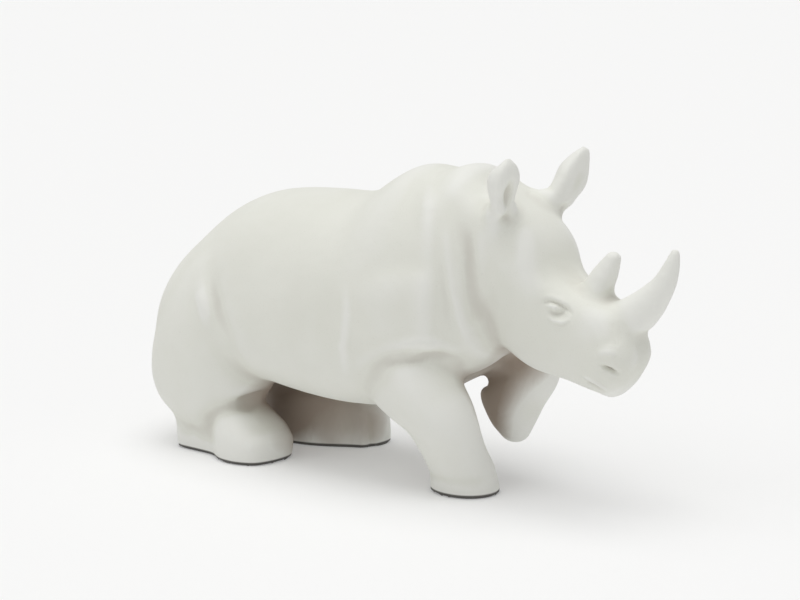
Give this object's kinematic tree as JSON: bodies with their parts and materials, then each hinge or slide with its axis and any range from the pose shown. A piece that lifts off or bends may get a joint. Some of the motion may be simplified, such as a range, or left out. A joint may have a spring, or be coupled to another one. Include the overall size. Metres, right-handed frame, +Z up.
{
  "type": "rhinoceros figurine",
  "caption": "Matt white ceramic rhinoceros figurine, cast in one piece, getting up on its haunches with one foreleg planted and the other lifted.",
  "frame": {"origin": "on the ground, under the middle of the figurine's length and width", "axes": "+X the way the animal faces, +Y its left side, +Z up"},
  "size_m": [0.27, 0.0938, 0.1448],
  "materials": {
    "white_bisque": "matt off-white bisque"
  },
  "bodies": {
    "root": {"rhinoceros": "white_bisque"}
  },
  "joints": []
}
